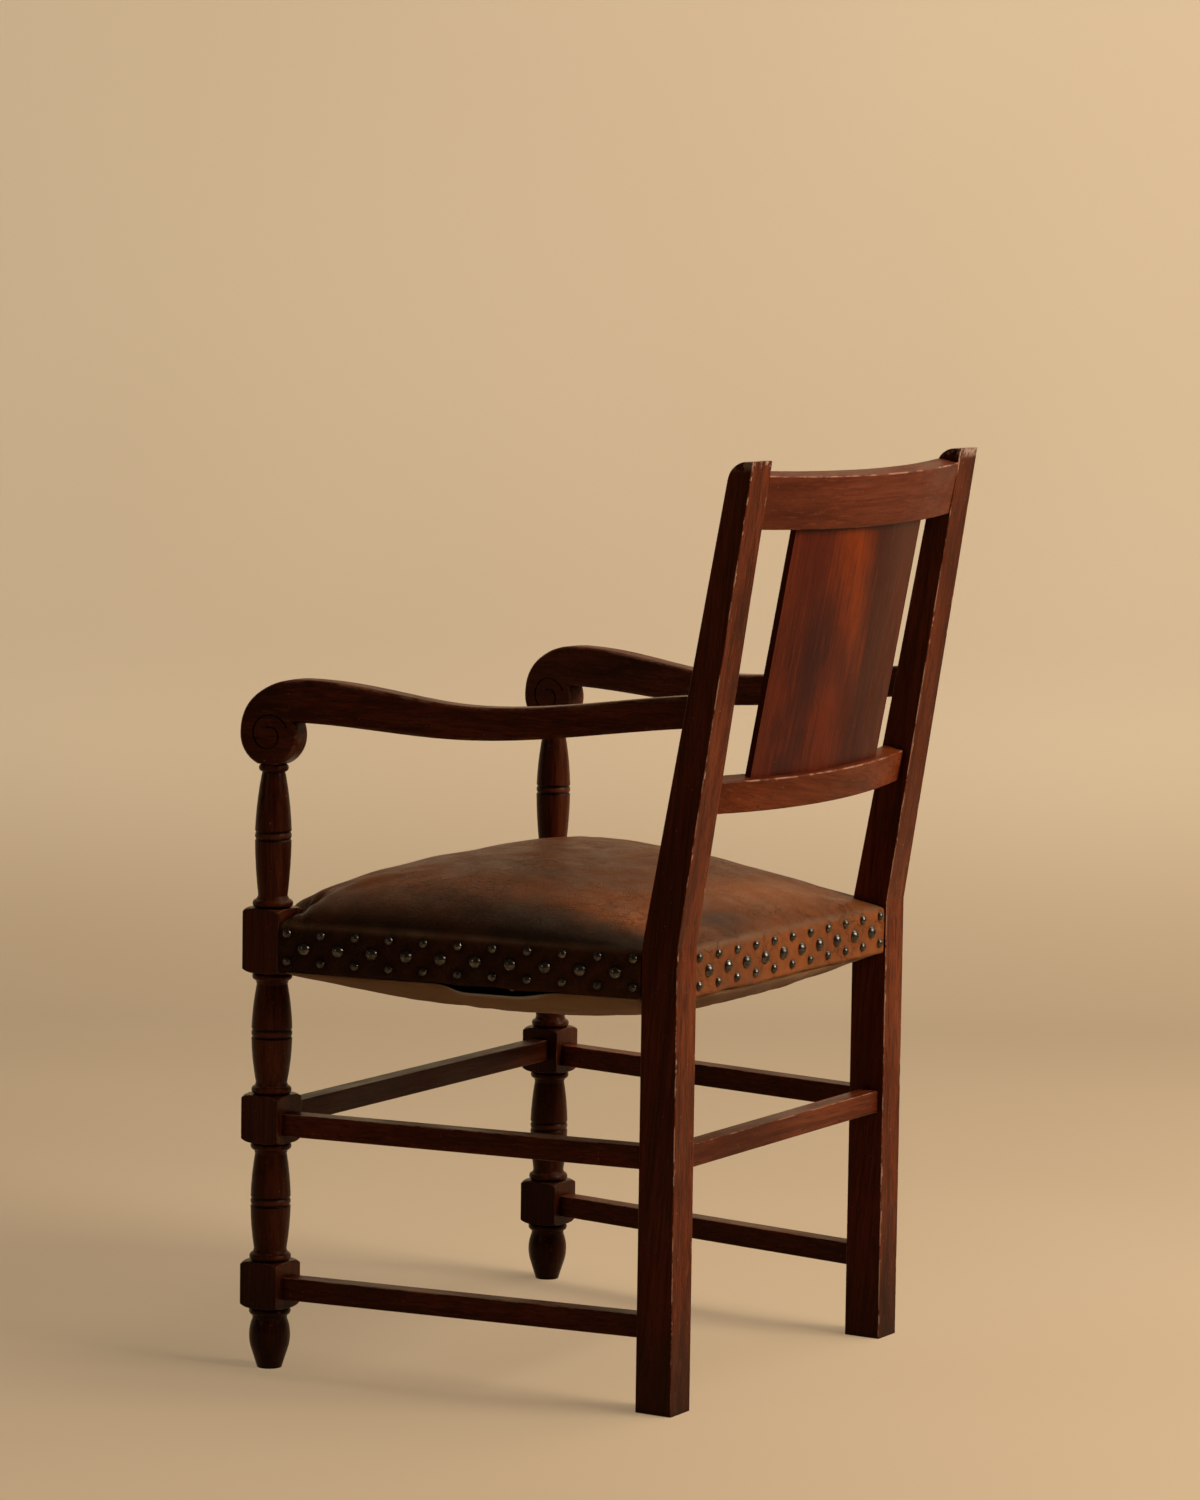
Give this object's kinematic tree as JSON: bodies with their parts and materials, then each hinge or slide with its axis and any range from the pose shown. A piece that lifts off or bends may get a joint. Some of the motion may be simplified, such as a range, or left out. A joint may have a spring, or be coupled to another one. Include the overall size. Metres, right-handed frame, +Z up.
{
  "type": "open armchair",
  "caption": "Open armchair with turned front legs and stretchers, scrolled arms, bowed back rails with a plain splat, and a crowned leather seat nailed over springs.",
  "frame": {"origin": "on the floor at the middle of the chair's outer box", "axes": "+Z up, -Y towards the chair's front, +X towards the sitter's left"},
  "size_m": [0.5636, 0.5562, 0.9],
  "materials": {
    "frame_wood": "dark stained and polished, worn at the edges",
    "rail_wood": "brown stained and polished, worn at the edges",
    "splat_wood": "flame figured, polished",
    "inner_wood": "bare sawn",
    "leather": "aged, worn and creased",
    "nail_bronze": "aged, dull",
    "steel": "plain",
    "spring_steel": "drawn wire",
    "stuffing": "matted fibre",
    "hessian": "coarse weave",
    "webbing": "twilled strap",
    "canvas": "aged coarse weave"
  },
  "bodies": {
    "root": {"rear_leg_left": "frame_wood", "rear_leg_right": "frame_wood", "front_leg_left": "frame_wood", "front_leg_right": "frame_wood", "arm_left": "frame_wood", "arm_right": "frame_wood", "crest_rail": "rail_wood", "lower_back_rail": "rail_wood", "back_splat": "splat_wood", "front_stretcher": "frame_wood", "rear_stretcher": "frame_wood", "upper_side_stretcher_left": "frame_wood", "upper_side_stretcher_right": "frame_wood", "lower_side_stretcher_left": "frame_wood", "lower_side_stretcher_right": "frame_wood", "front_seat_rail": "inner_wood", "rear_seat_rail": "inner_wood", "side_seat_rail_left": "inner_wood", "side_seat_rail_right": "inner_wood", "corner_blocks": "inner_wood", "corner_screws": "steel", "leather_cover": "leather", "large_nails": "nail_bronze", "small_nails": "nail_bronze", "seat_stuffing": "stuffing", "spring_hessian": "hessian", "seat_springs": "spring_steel", "webbing_front_to_back": "webbing", "webbing_side_to_side": "webbing", "bottom_canvas": "canvas", "canvas_tacks": "steel"}
  },
  "joints": []
}
